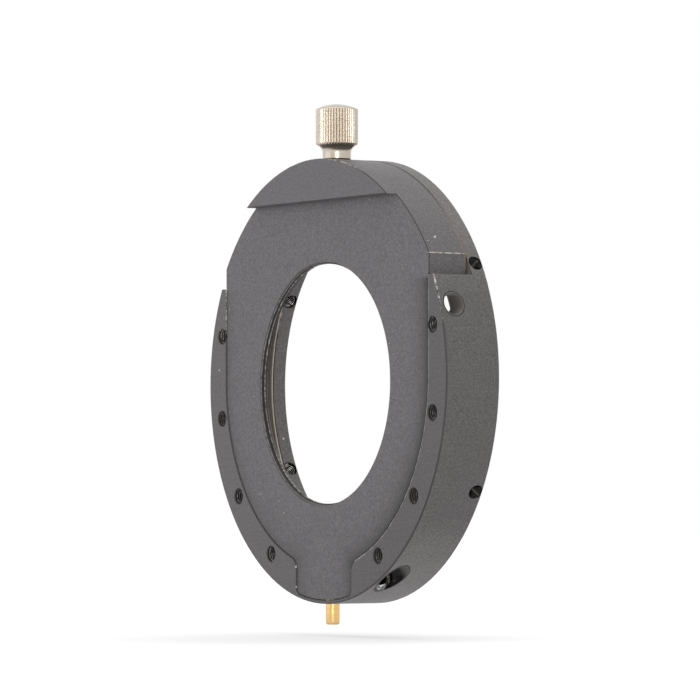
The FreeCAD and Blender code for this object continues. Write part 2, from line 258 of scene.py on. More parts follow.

# %% [markdown]
# ## Blasted and anodised aluminium
#
# Chamber and slider are aluminium, milled, blasted with fine glass beads, and then anodised
# and dyed black. Under studio light that isn't black at all: it is an even dark grey with a
# broad soft shine, a fine grain and a few glints where a bead left a flat facet, which are
# painted on as tiny light specks. The grain is three noises of very different sizes multiplied
# together, because that is how the real surface came about: the cutter first, then the beads,
# then the dye bath.

# %% Grain of the skin
# Bead marks are 0.1 to 0.2 mm, and drawn at 0.34 mm, because finer ones wouldn't show
BEAD_MARK = 0.34 * MM
# The traces of the cutter before the blasting are narrow and long, and run slantwise
TRACE_WIDTH, TRACE_LENGTH, TRACE_SLANT = 0.5 * MM, 7 * MM, math.radians(52)
# Slow clouds come from the dye bath
CLOUD = 15 * MM


def blasted_grain(tree, point):
    """How light the skin is from place to place: 1 on average."""
    beads = node(tree, "ShaderNodeTexNoise", {"Vector": point, "Scale": 1 / BEAD_MARK, "Detail": 1.0})
    slanted = node(tree, "ShaderNodeMapping", {
        "Vector": point, "Rotation": (0, TRACE_SLANT, 0),
        "Scale": (1 / TRACE_LENGTH, 1 / TRACE_LENGTH, 1 / TRACE_WIDTH)})
    cutter = node(tree, "ShaderNodeTexNoise", {"Vector": slanted, "Scale": 1.0, "Detail": 2.0})
    clouds = node(tree, "ShaderNodeTexNoise", {"Vector": point, "Scale": 1 / CLOUD, "Detail": 2.0})
    grain = 1.0
    for noise, spread in ((beads, 0.38), (cutter, 0.06), (clouds, 0.04)):
        shade = node(tree, "ShaderNodeMapRange", {"Value": noise, "From Min": 0.25, "From Max": 0.75,
                                                  "To Min": 1 - spread, "To Max": 1 + spread})
        grain = node(tree, "ShaderNodeMath", {0: grain, 1: shade}, operation="MULTIPLY")
    return grain


def painted_glint_specks(tree, point):
    """1 in a few tiny specks, the painted glints, about one on each 6 mm square, and 0 elsewhere."""
    # One in seven cells of 2.4 mm has a speck, and its radius is 0.055 of the cell's size
    cells = node(tree, "ShaderNodeTexVoronoi", {"Vector": point, "Scale": 1 / (2.4 * MM)})
    chosen = node(tree, "ShaderNodeSeparateColor", {0: cells.outputs["Color"]})
    chosen = node(tree, "ShaderNodeMath", {0: chosen, 1: 0.86}, operation="GREATER_THAN")
    close = node(tree, "ShaderNodeMath", {0: cells.outputs["Distance"], 1: 0.055}, operation="LESS_THAN")
    return node(tree, "ShaderNodeMath", {0: chosen, 1: close}, operation="MULTIPLY")


print("grain, mm: beads", BEAD_MARK / MM, "cutter", TRACE_WIDTH / MM, "clouds", CLOUD / MM)

# %% [markdown]
# Wear, tarnish, machining marks and painted light and shade all sit in certain places. Each place
# is described by masks, values that are 1 inside it and 0 outside, and a mark is a colour laid
# over the skin where all of its masks hold. A mask is mostly a limit on a coordinate or on a
# distance in mm, so the cells below hold short tables of such limits.

# %% Marks on a skin


def mark(tree, skin, colour, *masks):
    """The skin with a colour laid over it where all the masks hold."""
    cover = masks[0]
    for mask in masks[1:]:
        cover = node(tree, "ShaderNodeMath", {0: cover, 1: mask}, operation="MULTIPLY")
    return node(tree, "ShaderNodeMix", {0: cover, 6: skin, 7: colour}, data_type="RGBA").outputs[2]


# %% [markdown]
# The edges were broken with a smooth cutter. Their tone is painted light and shade: on the
# chamber the chamfers are painted darker than the skin, as painted shade, and on the slider they
# are painted dark above the arms' top and lighter below it, so that its edge beside the arms
# shows only faintly. Where hands and the sliding plate have rubbed them the dye is gone. The
# edges are small chamfers in the solid, and a chamfer faces half forward and half sideways, so
# the material finds it from the direction of the surface alone.
# A few corners are chipped down to the bright metal.

# %% Edges and chips
ARM_TOP = 19.6
CHAMFER_SPREAD = 0.08


def painted_and_worn_edges(tree, place, where, skin, painted_low_edge, painted_high_edge, rub_and_glint):
    """The skin with its chamfers painted in one shade below the arms' top and one above, worn through to the metal
    between two heights.
    """
    facing = node(tree, "ShaderNodeSeparateXYZ", {0: place.outputs["Normal"]})
    tilt = node(tree, "ShaderNodeMath", {0: facing.outputs["Y"]}, operation="ABSOLUTE")
    chamfer = node(tree, "ShaderNodeMath", {0: tilt, 1: math.sqrt(0.5), 2: CHAMFER_SPREAD}, operation="COMPARE")
    rub = node(tree, "ShaderNodeTexNoise", {"Vector": place.outputs["Object"], "Scale": 1 / (0.9 * MM),
                                            "Detail": 4.0, "Roughness": 0.7})
    rub = node(tree, "ShaderNodeMapRange", {"Value": rub, "From Min": 0.43, "From Max": 0.58})
    above = node(tree, "ShaderNodeMapRange", {"Value": where.outputs["Z"], "From Min": (rub_and_glint[0] - 1.5) * MM,
                                              "From Max": (rub_and_glint[0] + 1.5) * MM})
    below = node(tree, "ShaderNodeMapRange", {"Value": where.outputs["Z"], "From Min": (rub_and_glint[1] - 0.5) * MM,
                                              "From Max": (rub_and_glint[1] + 0.5) * MM, "To Min": 1.0, "To Max": 0.0})
    high = node(tree, "ShaderNodeMath", {0: where.outputs["Z"], 1: ARM_TOP * MM}, operation="GREATER_THAN")
    # Painted shade and light on the chamfers: one tone below the arms' top and one above
    edge = node(tree, "ShaderNodeMix", {0: high, 6: painted_low_edge, 7: painted_high_edge},
                data_type="RGBA").outputs[2]
    edge = mark(tree, edge, "#CBC7C0", rub, above, below)
    return mark(tree, skin, edge, chamfer)


def chipped(tree, point, skin, chips):
    """The skin with small bright chips, each given as its place and its radius in mm."""
    # Noise moves every point by up to 0.5 mm each way, 0.25 mm on average, for a ragged outline
    ragged = node(tree, "ShaderNodeTexNoise", {"Vector": point, "Scale": 1 / (0.3 * MM)}).outputs["Color"]
    ragged = node(tree, "ShaderNodeVectorMath", {0: ragged, "Scale": 0.5 * MM}, operation="SCALE")
    ragged = node(tree, "ShaderNodeVectorMath", {0: point, 1: ragged}, operation="ADD")
    for spot, radius in chips:
        moved = tuple((v + 0.25) * MM for v in spot)
        away = node(tree, "ShaderNodeVectorMath", {0: ragged, 1: moved}, operation="DISTANCE").outputs["Value"]
        chip = node(tree, "ShaderNodeMath", {0: away, 1: radius * MM}, operation="LESS_THAN")
        skin = mark(tree, skin, "#D8D4CE", chip)
    return skin


# %% [markdown]
# The whole skin is one function, because chamber and slider came out of the same bath. It gives
# back its colour unconnected, so that each of the two can add the marks of its own use.

# %% Anodised skin


def anodised(name, dye, painted_low_edge, painted_high_edge, rub_and_glint, chips):
    """The black skin: its material, tree, place, coordinates, colour and shader."""
    material, tree, shader = new_material(name)
    place = node(tree, "ShaderNodeTexCoord")
    point = place.outputs["Object"]
    where = node(tree, "ShaderNodeSeparateXYZ", {0: point})

    grain = blasted_grain(tree, point)
    skin = node(tree, "ShaderNodeVectorMath", {0: linear(dye)[:3], "Scale": grain}, operation="SCALE")
    # Painted glints: the specks are laid on as a light colour
    skin = mark(tree, skin, "#C8C8C8", painted_glint_specks(tree, point))
    skin = painted_and_worn_edges(tree, place, where, skin, painted_low_edge, painted_high_edge, rub_and_glint)
    skin = chipped(tree, point, skin, chips)

    shader.inputs["IOR"].default_value = 1.5
    shader.inputs["Roughness"].default_value = 0.5
    bump = node(tree, "ShaderNodeBump", {"Height": grain, "Strength": 0.3, "Distance": 0.02 * MM})
    tree.links.new(bump.outputs[0], shader.inputs["Normal"])
    return material, tree, place, where, skin, shader


# %% [markdown]
# The chamber's arms guide the slider along one outline: a half circle with straight sides above
# it and a slot below. How far a point is from that outline says where the two have rubbed on
# each other. It is the larger of its distances inside the circle and inside the slot. Above
# the circle's centre only the sideways distance counts, which makes the sides straight.

# %% Distance to the guide
GUIDE_HALF_WIDTH, GUIDE_CENTRE, SLOT_HALF_WIDTH = 37.4, 0.5, 10.15


def guide_distance(tree, where):
    """How far inside the outline that guides the slider a point is, in metres."""
    drop = node(tree, "ShaderNodeMath", {0: where.outputs["Z"], 1: GUIDE_CENTRE * MM}, operation="SUBTRACT")
    drop = node(tree, "ShaderNodeMath", {0: drop, 1: 0.0}, operation="MINIMUM")
    sideways = node(tree, "ShaderNodeMath", {0: where.outputs["X"]}, operation="ABSOLUTE")
    flat = node(tree, "ShaderNodeCombineXYZ", {0: sideways, 1: drop})
    reach = node(tree, "ShaderNodeVectorMath", {0: flat}, operation="LENGTH").outputs["Value"]
    from_circle = node(tree, "ShaderNodeMath", {0: GUIDE_HALF_WIDTH * MM, 1: reach}, operation="SUBTRACT")
    from_slot = node(tree, "ShaderNodeMath", {0: SLOT_HALF_WIDTH * MM, 1: sideways}, operation="SUBTRACT")
    return node(tree, "ShaderNodeMath", {0: from_circle, 1: from_slot}, operation="MAXIMUM")


print("the guide is", 2 * GUIDE_HALF_WIDTH, "mm wide and its slot", 2 * SLOT_HALF_WIDTH, "mm")

# %% [markdown]
# The chamber's arms carry a thin painted highlight along the inner edge of their front face, on
# the right, where that edge catches the light. Noise breaks the line up into short dashes.

# %% Chamber: the skin and the painted highlight along the guide
chamber_skin, tree, place, where, colour, shader = anodised(
    "anodised_aluminium_chamber", "#5F5D5D", "#3A3838", "#2B2929", (11.5, 19.8),
    [((-10.3, -12.2, -36.7), 0.24), ((-10.2, -12.2, -40.7), 0.2), ((7.4, -12.2, -43.4), 0.22),
     ((-32.2, -1.6, -10.9), 0.24), ((-40.1, -12.2, 3.1), 0.2)])
sideways, depth, height = (where.outputs[axis] for axis in "XYZ")
on = {key: node(tree, "ShaderNodeMath", {0: value, 1: limit * MM}, operation=side)
      for key, value, side, limit in (
          ("guide", guide_distance(tree, where), "GREATER_THAN", -0.32),
          ("front", depth, "LESS_THAN", FRONT_Y + 0.25),
          ("right", sideways, "GREATER_THAN", 11.5))}
broken_highlight = node(tree, "ShaderNodeTexNoise", {"Vector": place.outputs["Object"], "Scale": 1 / (1.2 * MM), "Detail": 3.0})
broken_highlight = node(tree, "ShaderNodeMapRange", {"Value": broken_highlight, "From Min": 0.35, "From Max": 0.6, "To Max": 0.75})
# Painted highlight along the right-hand inner edge of the arms
colour = mark(tree, colour, "#C4C2BF", on["guide"], on["front"], on["right"], broken_highlight)
print("chamber skin starts with", len(tree.nodes), "nodes")

# %% [markdown]
# Behind the slider the back wall was faced on a lathe: it is thinly dyed, grey-brown, with fine
# rings, and painted lighter still for the light that reaches it through the opening. The bore's
# edge in it carries a painted highlight, and the bore is painted a little lighter than the
# outside, for the light that falls in. The walls of the six radial holes are painted near black,
# as painted shade, since hardly any light comes back from them. All of these are shells about
# the axis of the light path, so the distance from that axis and the depth along it describe them.

# %% Chamber: the back wall and its bore
WALL_FRONT, BORE_RADIUS, RIM_RADIUS = -3.25, 34.0, 43.9
SLACK, BRIGHT_EDGE = 0.03, 0.32

flat = node(tree, "ShaderNodeCombineXYZ", {0: sideways, 1: height})
radius = node(tree, "ShaderNodeVectorMath", {0: flat}, operation="LENGTH").outputs["Value"]
on = {key: node(tree, "ShaderNodeMath", {0: value, 1: limit * MM}, operation=side)
      for key, value, side, limit in (
          ("wall or behind", depth, "GREATER_THAN", WALL_FRONT - SLACK),
          ("wall or before", depth, "LESS_THAN", WALL_FRONT + SLACK),
          ("behind wall", depth, "GREATER_THAN", WALL_FRONT + SLACK),
          ("bore edge", depth, "LESS_THAN", WALL_FRONT + 0.25),
          ("before back", depth, "LESS_THAN", -0.06),
          ("bore", radius, "LESS_THAN", BORE_RADIUS + BRIGHT_EDGE),
          ("outside bore", radius, "GREATER_THAN", BORE_RADIUS + BRIGHT_EDGE),
          ("recess", radius, "LESS_THAN", GUIDE_HALF_WIDTH - 0.1),
          ("outside recess", radius, "GREATER_THAN", GUIDE_HALF_WIDTH),
          ("under rim", radius, "LESS_THAN", RIM_RADIUS - 0.25),
          ("above arms", height, "GREATER_THAN", ARM_TOP - 0.1))}
# Grey-brown faced rings, partly their own colour and partly painted light
rings = node(tree, "ShaderNodeTexNoise", {"W": radius, "Scale": 1 / (0.25 * MM), "Detail": 2.0},
             noise_dimensions="1D")
faced_rings_painted_lighter = node(tree, "ShaderNodeMix", {0: rings, 6: "#A0968A", 7: "#E6DCCE"},
             data_type="RGBA").outputs[2]
colour = mark(tree, colour, faced_rings_painted_lighter, on["wall or behind"], on["wall or before"], on["outside bore"], on["recess"])
# Painted highlight on the bore's edge
colour = mark(tree, colour, "#E2DACB", on["wall or behind"], on["bore edge"], on["bore"])
# Painted light: the bore is made lighter than the outside
bore_painted_lighter = node(tree, "ShaderNodeVectorMath", {0: colour, "Scale": 1.35}, operation="SCALE")
colour = mark(tree, colour, bore_painted_lighter, on["behind wall"], on["bore"])
# Painted shade: the walls of the radial holes in the ring are near black
colour = mark(tree, colour, "#121111", on["behind wall"], on["outside bore"], on["under rim"], on["before back"])
# The ring's front face beside the cap catches more light
brighter = node(tree, "ShaderNodeVectorMath", {0: colour, "Scale": 1.9}, operation="SCALE")
colour = mark(tree, colour, brighter, on["above arms"], on["wall or behind"], on["wall or before"],
              on["outside recess"], on["under rim"])
print("with its back wall and bore it has", len(tree.nodes))

# %% [markdown]
# The chamber's front faces are painted a little darker on the right, as painted shade. Its rim is
# painted lighter on the underside, for the light that the white table throws up, and slightly so
# at the top, for the light from above. A shade that changes slowly is a factor on the colour,
# from a range of one coordinate.

# %% Chamber: faces and rim
on = {key: node(tree, "ShaderNodeMath", {0: value, 1: limit * MM}, operation=side)
      for key, value, side, limit in (
          ("face", depth, "LESS_THAN", FRONT_Y + SLACK),
          ("rim", radius, "GREATER_THAN", RIM_RADIUS - 0.12))}
# Painted shade on the faces, and painted light on the rim's underside and top
for value, start, end, first, last, mask in (
        (sideways, -25, 25, 0.94, 0.74, on["face"]),
        (height, -27, -RIM_RADIUS, 1.0, 2.15, on["rim"]),
        (height, 14, 26, 1.0, 1.3, on["rim"])):
    shade = node(tree, "ShaderNodeMapRange", {"Value": value, "From Min": start * MM, "From Max": end * MM,
                                              "To Min": first, "To Max": last})
    shaded = node(tree, "ShaderNodeVectorMath", {0: colour, "Scale": shade}, operation="SCALE")
    colour = mark(tree, colour, shaded, mask)
print("with its rim it has", len(tree.nodes))

# %% [markdown]
# The walls of the eight tapped holes in the front are painted nearly black, as painted shade,
# since the light goes in and doesn't come out. They are in mirrored pairs, so four distances
# from their axes are enough. The lower side hole is painted black inside too, down to where the
# plunger sits, and the bore of the open one above it is plain and painted light grey, for the
# light that falls into it. Towards their mouths both walls are painted half way to grey, and both
# have a painted dark edge round their mouths.

# %% Chamber: holes
BOLT_CIRCLE, BOLT_ANGLES, UPPER_HOLE_HEIGHT = 39.55, (-10, -35, -60), 9.95
RIGHT_HOLES = [(BOLT_CIRCLE * math.cos(math.radians(angle)), BOLT_CIRCLE * math.sin(math.radians(angle)))
               for angle in BOLT_ANGLES]
RIGHT_HOLES.append((RIGHT_HOLES[0][0], UPPER_HOLE_HEIGHT))
SPARE_HOLE, SPARE_RADIUS = (0.0, -9.05, 13.85), 2.15
PLUNGER_HOLE, PLUNGER_RADIUS = (0.0, -9.2, -38.65), 2.35
TAPPED_MIDDLE, TAPPED_HALF_DEPTH, TAPPED_RADIUS = -8.0, 4.15, 1.56

mirrored = node(tree, "ShaderNodeMath", {0: sideways}, operation="ABSOLUTE")
mirrored = node(tree, "ShaderNodeCombineXYZ", {0: mirrored, 1: height})
in_hole = node(tree, "ShaderNodeMath", {0: depth, 1: TAPPED_MIDDLE * MM, 2: TAPPED_HALF_DEPTH * MM},
               operation="COMPARE")
# Painted shade: the walls of the tapped holes are near black
for x, z in RIGHT_HOLES:
    away = node(tree, "ShaderNodeVectorMath", {0: mirrored, 1: (x * MM, z * MM, 0)}, operation="DISTANCE")
    tapped = node(tree, "ShaderNodeMath", {0: away.outputs["Value"], 1: TAPPED_RADIUS * MM}, operation="LESS_THAN")
    colour = mark(tree, colour, "#161515", tapped, in_hole)

across = node(tree, "ShaderNodeCombineXYZ", {1: depth, 2: height})
on_right = node(tree, "ShaderNodeMath", {0: sideways, 1: 11 * MM}, operation="GREATER_THAN")
to_mouth = node(tree, "ShaderNodeMapRange", {"Value": sideways, "From Min": 20.3 * MM, "From Max": 21.8 * MM,
                                             "To Max": 0.5})
for middle, hole_radius, painted_hole_tone in ((SPARE_HOLE, SPARE_RADIUS, "#979491"),
                                         (PLUNGER_HOLE, PLUNGER_RADIUS, "#131212")):
    centre = tuple(v * MM for v in middle)
    away = node(tree, "ShaderNodeVectorMath", {0: across, 1: centre}, operation="DISTANCE").outputs["Value"]
    at = {key: node(tree, "ShaderNodeMath", {0: value, 1: limit * MM}, operation=side)
          for key, value, side, limit in (
              ("wall", away, "LESS_THAN", hole_radius + 0.05),
              ("mouth", away, "LESS_THAN", hole_radius + 0.32))}
    # Painted shade round each mouth, and the wall painted black or light grey, half way to grey near its mouth
    colour = mark(tree, colour, "#2B2929", at["mouth"], on_right)
    painted_wall_tone = node(tree, "ShaderNodeMix", {0: to_mouth, 6: painted_hole_tone, 7: "#787573"},
                  data_type="RGBA").outputs[2]
    colour = mark(tree, colour, painted_wall_tone, at["wall"], on_right)
tree.links.new(colour, shader.inputs["Base Color"])
print(chamber_skin.name, "has", len(tree.nodes), "nodes")

# %% [markdown]
# The slider's edges run against the arms of the chamber, and for some millimetres from those
# edges its skin is painted darker, as painted shade from the arms, more so on the right. The
# shade fades with the same distance to the guide that found the painted highlight on the arms.

# %% Slider: the skin and the painted shade along its edges
slider_skin, tree, place, where, colour, shader = anodised(
    "anodised_aluminium_slider", "#626062", "#8A8684", "#262424", (41.5, 43.5),
    [((35.35, -9.2, 26.9), 0.25), ((35.2, -8.8, 27.3), 0.2), ((-15.0, -12.05, -26.0), 0.14),
     ((24.0, -12.05, -13.5), 0.12)])
sideways, depth, height = (where.outputs[axis] for axis in "XYZ")
painted_arm_shade = node(tree, "ShaderNodeMath", {0: guide_distance(tree, where), 1: -1 / (2.4 * MM)}, operation="MULTIPLY")
painted_arm_shade = node(tree, "ShaderNodeMath", {0: painted_arm_shade}, operation="EXPONENT")
guided = node(tree, "ShaderNodeMapRange", {"Value": height, "From Min": (ARM_TOP - 0.8) * MM,
                                           "From Max": (ARM_TOP - 0.2) * MM, "To Min": 1.0, "To Max": 0.0})
forward = node(tree, "ShaderNodeMath", {0: depth, 1: (FRONT_Y + 0.4) * MM}, operation="LESS_THAN")
deepest = node(tree, "ShaderNodeMapRange", {"Value": sideways, "From Min": -20 * MM, "From Max": 30 * MM,
                                            "To Min": -0.42, "To Max": -1.08})
# Painted shade from the arms, which ends at the arms' top and is deeper on the right
for factor in (guided, forward, deepest):
    painted_arm_shade = node(tree, "ShaderNodeMath", {0: painted_arm_shade, 1: factor}, operation="MULTIPLY")
left = node(tree, "ShaderNodeMath", {0: painted_arm_shade, 1: 1.0}, operation="ADD", use_clamp=True)
colour = node(tree, "ShaderNodeVectorMath", {0: colour, "Scale": left}, operation="SCALE")
print("slider skin starts with", len(tree.nodes), "nodes")

# %% [markdown]
# The rear edge of the slider's cap is rubbed to a thin brown line, where the dye has gone and
# the bare metal has tarnished, and towards the top the line turns dark. The corner below the
# cap's round side is rubbed bright.

# %% Slider: the cap's edges
CAP_CORNER_X, CAP_CORNER_Z = 37.65, 23.71

flat = node(tree, "ShaderNodeCombineXYZ", {0: sideways, 1: height})
radius = node(tree, "ShaderNodeVectorMath", {0: flat}, operation="LENGTH").outputs["Value"]
facing = node(tree, "ShaderNodeSeparateXYZ", {0: place.outputs["Normal"]})
on = {key: node(tree, "ShaderNodeMath", {0: value, 1: limit * MM}, operation=side)
      for key, value, side, limit in (
          ("cap", height, "GREATER_THAN", 20.5),
          ("rim", radius, "GREATER_THAN", 42.6),
          ("side", sideways, "GREATER_THAN", CAP_CORNER_X - 0.2))}
off_back = node(tree, "ShaderNodeMath", {0: facing.outputs["Y"], 1: 0.9}, operation="LESS_THAN")
rear = node(tree, "ShaderNodeMapRange", {"Value": depth, "From Min": -4.15 * MM, "From Max": -3.75 * MM,
                                         "To Max": 0.8})
darker_upward = node(tree, "ShaderNodeMapRange", {"Value": height, "From Min": 29 * MM, "From Max": 36 * MM})
tarnish = node(tree, "ShaderNodeMix", {0: darker_upward, 6: "#7E6A54", 7: "#2E2B29"},
               data_type="RGBA").outputs[2]
colour = mark(tree, colour, tarnish, on["cap"], rear, off_back, on["rim"])
at_corner = node(tree, "ShaderNodeMath", {0: height, 1: CAP_CORNER_Z * MM, 2: 0.11 * MM}, operation="COMPARE")
scratches_and_glints = node(tree, "ShaderNodeTexNoise", {"Vector": place.outputs["Object"], "Scale": 1 / (0.8 * MM)})
scratches_and_glints = node(tree, "ShaderNodeMapRange", {"Value": scratches_and_glints, "From Min": 0.3, "From Max": 0.55})
colour = mark(tree, colour, "#C9C4BC", at_corner, on["side"], scratches_and_glints)
print("with its cap it has", len(tree.nodes))

# %% [markdown]
# Threads and the knurl repeat as one goes round an axis, whether they are cut into a surface or
# painted on it. Two small patterns are enough for all of them: how far round a point is,
# counted in turns, and a wave that rises and falls once in each turn.

# %% Helpers for what repeats round an axis


def turns_round(tree, up, across):
    """How far round an axis a point is, in turns from -0.5 to 0.5."""
    turn = node(tree, "ShaderNodeMath", {0: up, 1: across}, operation="ARCTAN2")
    return node(tree, "ShaderNodeMath", {0: turn, 1: 2 * math.pi}, operation="DIVIDE")


def wave(tree, turns):
    """1 at each whole number of turns, falling straight to 0 halfway between two."""
    share = node(tree, "ShaderNodeMath", {0: turns}, operation="FRACT")
    share = node(tree, "ShaderNodeMath", {0: share, 1: 2.0, 2: -1.0}, operation="MULTIPLY_ADD")
    return node(tree, "ShaderNodeMath", {0: share}, operation="ABSOLUTE")


# %% [markdown]
# The edge of the round opening is painted darker on the left, as painted shade. The wall of the
# opening carries the filter thread, with painted shade in its valleys and painted highlights on
# its crests. Real ridges there would lie below the solid's skin, so the wall is painted with the
# thread's lines: how far round a point is and how far in it is, both counted in turns, say where
# it is between a valley and a crest.

# %% Slider: the opening
OPENING_Z, OPENING_RADIUS = -0.5, 24.0
THREAD_START, THREAD_PITCH = -11.57, 0.75

away = node(tree, "ShaderNodeVectorMath", {0: flat, 1: (0, OPENING_Z * MM, 0)}, operation="DISTANCE").outputs["Value"]
at = {key: node(tree, "ShaderNodeMath", {0: value, 1: limit * MM}, operation=side)
      for key, value, side, limit in (
          ("edge", away, "LESS_THAN", OPENING_RADIUS + 0.3),
          ("wall", away, "LESS_THAN", OPENING_RADIUS + 0.02))}
on_left = node(tree, "ShaderNodeMapRange", {"Value": sideways, "From Min": 2 * MM, "From Max": -8 * MM})
# Painted shade along the opening's edge on the left
colour = mark(tree, colour, "#2A2828", at["edge"], on_left)

from_middle = node(tree, "ShaderNodeMath", {0: height, 1: OPENING_Z * MM}, operation="SUBTRACT")
along = node(tree, "ShaderNodeMath", {0: depth, 1: 1 / (THREAD_PITCH * MM), 2: -THREAD_START / THREAD_PITCH},
             operation="MULTIPLY_ADD")
along = node(tree, "ShaderNodeMath", {0: along, 1: turns_round(tree, from_middle, sideways)}, operation="ADD")
crest = node(tree, "ShaderNodeMapRange", {"Value": wave(tree, along), "From Min": 0.5, "From Max": 0.85,
                                          "To Max": 0.8})
# Painted shade in the valleys and painted highlights on the crests
cut = mark(tree, "#1C1B1B", "#ABA6A0", crest, scratches_and_glints)
colour = mark(tree, colour, cut, at["wall"])
tree.links.new(colour, shader.inputs["Base Color"])
print(slider_skin.name, "has", len(tree.nodes), "nodes")

# %% [markdown]
# The cut threads are anodised too, but a cutting tap leaves them smooth. Their crests catch the
# light and their valleys stay dark, and both are painted: a painted highlight on the crests and
# painted shade in the valleys. The geometry of the threads carries a number for this, "crest":
# 0 in the valleys and 1 on the crests, and the material turns it into colour. Some threads get
# more of the painted highlight than others: the front ones hardly, and the radial ones most.

# %% Cut threads


def threaded(name, valley, crest_highlight, metallic, patch_mm, highlight_share):
    """A thread with painted shade in its valleys and a painted highlight on its crests. How much of the crests is lit
    up is a number from 0 to 1.
    """
    material, tree, shader = new_material(name)
    point = node(tree, "ShaderNodeTexCoord").outputs["Object"]
    crest = node(tree, "ShaderNodeAttribute", attribute_name="crest").outputs["Fac"]
    rub_and_glint = node(tree, "ShaderNodeMapRange", {"Value": crest, "From Min": 0.45, "From Max": 0.85})
    patches = node(tree, "ShaderNodeTexNoise", {"Vector": point, "Scale": 1 / (patch_mm * MM), "Detail": 2.0})
    patches = node(tree, "ShaderNodeMapRange", {"Value": patches, "From Min": 0.6 - 0.3 * highlight_share,
                                                "From Max": 0.7 - 0.1 * highlight_share, "To Min": 0.5 * highlight_share})
    # Painted shade: the outer ends of the radial holes, which are all behind the wall's front, are painted black
    where = node(tree, "ShaderNodeSeparateXYZ", {0: point})
    flat = node(tree, "ShaderNodeCombineXYZ", {0: where.outputs["X"], 1: where.outputs["Z"]})
    radius = node(tree, "ShaderNodeVectorMath", {0: flat}, operation="LENGTH").outputs["Value"]
    outer = node(tree, "ShaderNodeMapRange", {"Value": radius, "From Min": 36.5 * MM, "From Max": 39.5 * MM})
    at_back = node(tree, "ShaderNodeMath", {0: where.outputs["Y"], 1: (WALL_FRONT - 0.05) * MM},
                   operation="GREATER_THAN")
    # Painted highlight on the crests, and painted shade in the valleys and at the holes' outer ends
    tone = mark(tree, valley, crest_highlight, rub_and_glint, patches)
    tone = mark(tree, tone, valley, outer, at_back)
    tree.links.new(tone, shader.inputs["Base Color"])
    shader.inputs["Metallic"].default_value = metallic
    shader.inputs["Roughness"].default_value = 0.25
    print(name, "has", len(tree.nodes), "nodes")
    return material


filter_thread_skin = threaded("anodised_aluminium_thread", "#161515", "#ABA6A0", 0.5, 0.7, 0.5)
front_thread_skin = threaded("anodised_aluminium_front_thread", "#121111", "#B0ADA8", 0.5, 1.1, 0.3)
radial_thread_skin = threaded("glinting_aluminium_thread", "#161515", "#FFFCF8", 0.6, 1.6, 1.0)
glinting_oxide = threaded("glinting_black_oxide_thread", "#100F0F", "#FFFFFF", 0.9, 0.7, 0.3)

# %% [markdown]
# ## Nickel, brass and steel
#
# The thumb screw is turned from brass and nickel-plated, which gives a warm, slightly yellow
# silver. The push-out pin is plain turned brass. Set screws and the plunger's sleeve are steel
# with a black oxide finish, and the spring and ball are bright steel. All of them were turned,
# so their finish runs round the axis in very fine rings.

# %% Metals


def metal(name, colour, dark, roughness, ring_mm, ring_axis, relief):
    """A turned metal. Fine rings follow one axis of the part, and slow blotches tone its colour."""
    material, tree, shader = new_material(name)
    place = node(tree, "ShaderNodeTexCoord")
    # The noise is 30 mm long round the piece, and as fine as the rings along the axis
    stretch = [1 / (30 * MM)] * 3
    stretch[ring_axis] = 1 / (ring_mm * MM)
    rings_at = node(tree, "ShaderNodeMapping", {"Vector": place.outputs["Object"], "Scale": stretch})
    rings = node(tree, "ShaderNodeTexNoise", {"Vector": rings_at, "Scale": 1.0, "Detail": 2.0})
    blotch = node(tree, "ShaderNodeTexNoise", {"Vector": place.outputs["Object"], "Scale": 1 / (3 * MM),
                                               "Detail": 2.0})
    tone = node(tree, "ShaderNodeMath", {0: rings, 1: blotch}, operation="ADD")
    tone = node(tree, "ShaderNodeMapRange", {"Value": tone, "From Min": 0.7, "From Max": 1.3})
    mixed = node(tree, "ShaderNodeMix", {0: tone, 6: colour, 7: dark}, data_type="RGBA")
    tree.links.new(mixed.outputs[2], shader.inputs["Base Color"])
    shader.inputs["Metallic"].default_value = 1.0
    rough = node(tree, "ShaderNodeMapRange", {"Value": rings, "To Min": roughness - 0.03, "To Max": roughness + 0.03})
    tree.links.new(rough.outputs[0], shader.inputs["Roughness"])
    bump = node(tree, "ShaderNodeBump", {"Height": rings, "Strength": relief, "Distance": 0.005 * MM})
    tree.links.new(bump.outputs[0], shader.inputs["Normal"])
    print(name, "has", len(tree.nodes), "nodes")
    return material


nickel = metal("nickel_plated_brass", "#C8BFB2", "#B8AEA0", 0.28, 0.2, 2, 0.03)
brass = metal("turned_brass", "#EECB90", "#DFB575", 0.24, 0.16, 2, 0.05)
black_oxide = metal("black_oxide_steel", "#302E2E", "#201E1E", 0.36, 0.2, 0, 0.1)
bright_steel = metal("bright_steel", "#BFC0C2", "#A9AAAD", 0.2, 0.2, 0, 0.1)

# %% [markdown]
# Each solid now gets its finish. The table names the seven that differ, and whatever it
# doesn't name is one of the six clamp screws, in black oxide.

# %% Dress the construction model
finishes = {
    "chamber_body": chamber_skin,
    "slider_body": slider_skin,
    "push_pin": brass,
    "thumb_screw": nickel,
    "plunger_sleeve": black_oxide,
    "plunger_spring": bright_steel,
    "plunger_ball": bright_steel,
}
for name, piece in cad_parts.items():
    finish = finishes.get(name, black_oxide)
    if not piece.material_slots:
        piece.data.materials.append(finish)
    for held in piece.material_slots:
        held.material = finish
print("dressed", len(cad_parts), "nodes")

# %% [markdown]
# ## Tools for turned and patterned pieces
#
# Three kinds of detail are too fine for the construction model: the knurl on the thumb screw,
# the threads in the small holes and the thread on the plunger's sleeve. All of them repeat by
# a rule, which is what Geometry Nodes are good at. First comes a plain turned surface, made
# the way a lathe makes it: a list of rings, each with its place along the axis and its radius.
# The radius may change round the ring, so a six-sided key socket is turned in the same way.

# %% A turned surface


